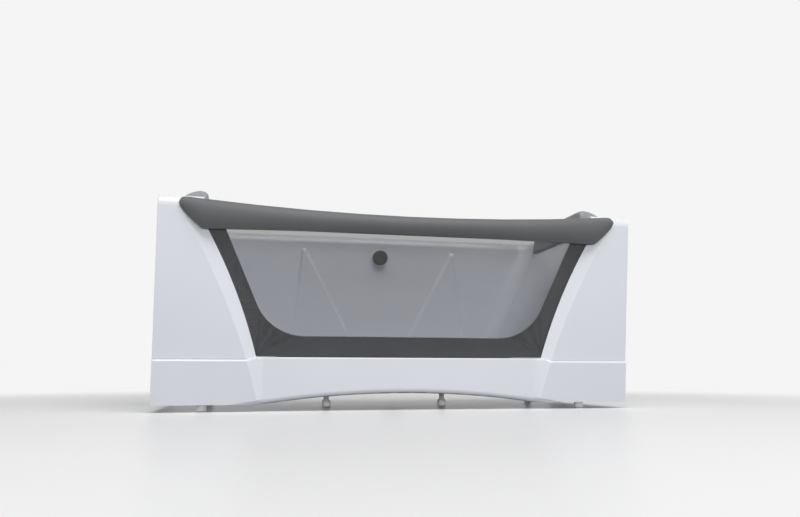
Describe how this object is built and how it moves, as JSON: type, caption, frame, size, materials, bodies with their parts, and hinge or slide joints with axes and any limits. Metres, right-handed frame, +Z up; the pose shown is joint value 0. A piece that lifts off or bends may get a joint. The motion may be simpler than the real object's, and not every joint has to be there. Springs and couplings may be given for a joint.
{
  "type": "bathtub",
  "caption": "Rectangular bath with a leaning glass front between splayed white columns, a dark top rail, end headrests, an arched plinth and levelling feet.",
  "frame": {"origin": "on the floor under the middle of the rim", "axes": "+X along the bath to the right seen from the window, +Y from the window to the wall, +Z up"},
  "size_m": [1.7, 0.7707, 0.7585],
  "materials": {
    "acrylic_white": "gloss sanitary acrylic",
    "rail_grey": "satin",
    "border_dark": "smooth matt print",
    "glass_clear": "clear toughened",
    "cushion_grey": "soft skin foam",
    "knob_dark": "satin",
    "chrome_bright": "polished",
    "pipe_grey": "moulded",
    "rubber_black": "matt",
    "steel_zinc": "zinc plated",
    "board_wood": "raw chipboard",
    "nylon_white": "moulded",
    "block_grey": "moulded"
  },
  "bodies": {
    "bath": {"column_brackets_lower": "steel_zinc", "column_brackets_upper": "steel_zinc", "column_left": "acrylic_white", "column_right": "acrylic_white", "end_panel_left": "acrylic_white", "end_panel_right": "acrylic_white", "end_panel_spacers": "block_grey", "floor_board": "board_wood", "foot_lock_nuts": "steel_zinc", "foot_nuts": "steel_zinc", "frame_cross_inner_left": "steel_zinc", "frame_cross_inner_right": "steel_zinc", "frame_cross_outer_left": "steel_zinc", "frame_cross_outer_right": "steel_zinc", "frame_post_front_left": "steel_zinc", "frame_post_front_right": "steel_zinc", "frame_post_rear_left": "steel_zinc", "frame_post_rear_right": "steel_zinc", "frame_rail_front": "steel_zinc", "frame_rail_rear": "steel_zinc", "glass_pane": "glass_clear", "glazing_frame": "border_dark", "glazing_seal": "rubber_black", "headrest_left": "cushion_grey", "headrest_pegs": "block_grey", "headrest_right": "cushion_grey", "outlet_pipe": "pipe_grey", "overflow_body": "pipe_grey", "overflow_flange": "chrome_bright", "overflow_gasket": "rubber_black", "overflow_hose": "pipe_grey", "plinth_clips": "block_grey", "plinth_front": "acrylic_white", "plinth_left": "acrylic_white", "plinth_right": "acrylic_white", "plinth_spacers": "block_grey", "plug_cable": "rubber_black", "rail_bolts": "steel_zinc", "top_rail": "rail_grey", "trap_bend": "pipe_grey", "trap_nuts": "pipe_grey", "tub_shell": "acrylic_white", "waste_body": "pipe_grey", "waste_flange": "chrome_bright", "waste_gasket": "rubber_black"},
    "knob": {"overflow_knob": "knob_dark"},
    "plug": {"waste_plug": "chrome_bright"},
    "leveller_front_left": {"foot_front_left": "nylon_white", "foot_pad_front_left": "nylon_white"},
    "leveller_front_right": {"foot_front_right": "nylon_white", "foot_pad_front_right": "nylon_white"},
    "leveller_rear_left": {"foot_rear_left": "nylon_white", "foot_pad_rear_left": "nylon_white"},
    "leveller_rear_right": {"foot_rear_right": "nylon_white", "foot_pad_rear_right": "nylon_white"},
    "leveller_middle_left": {"foot_middle_left": "nylon_white", "foot_pad_middle_left": "nylon_white"},
    "leveller_middle_right": {"foot_middle_right": "nylon_white", "foot_pad_middle_right": "nylon_white"}
  },
  "joints": [
    {"name": "knob_turn", "type": "hinge", "parent": "bath", "child": "knob", "pos_m": [0, 0.215, 0.62], "axis": [0, 1, 0], "range_deg": [0, 100]},
    {"name": "plug_lift", "type": "slide", "parent": "bath", "child": "plug", "axis": [0, 0, 1], "range_m": [0, 0.009]},
    {"name": "level_front_left", "type": "slide", "parent": "bath", "child": "leveller_front_left", "axis": [0, 0, 1], "range_m": [-0.02, 0.01]},
    {"name": "level_front_right", "type": "slide", "parent": "bath", "child": "leveller_front_right", "axis": [0, 0, 1], "range_m": [-0.02, 0.01]},
    {"name": "level_rear_left", "type": "slide", "parent": "bath", "child": "leveller_rear_left", "axis": [0, 0, 1], "range_m": [-0.02, 0.01]},
    {"name": "level_rear_right", "type": "slide", "parent": "bath", "child": "leveller_rear_right", "axis": [0, 0, 1], "range_m": [-0.02, 0.01]},
    {"name": "level_middle_left", "type": "slide", "parent": "bath", "child": "leveller_middle_left", "axis": [0, 0, 1], "range_m": [-0.02, 0.01]},
    {"name": "level_middle_right", "type": "slide", "parent": "bath", "child": "leveller_middle_right", "axis": [0, 0, 1], "range_m": [-0.02, 0.01]}
  ],
  "couplings": [
    {"joint": "plug_lift", "follows": "knob_turn", "m_per_rad": 0.00515}
  ]
}
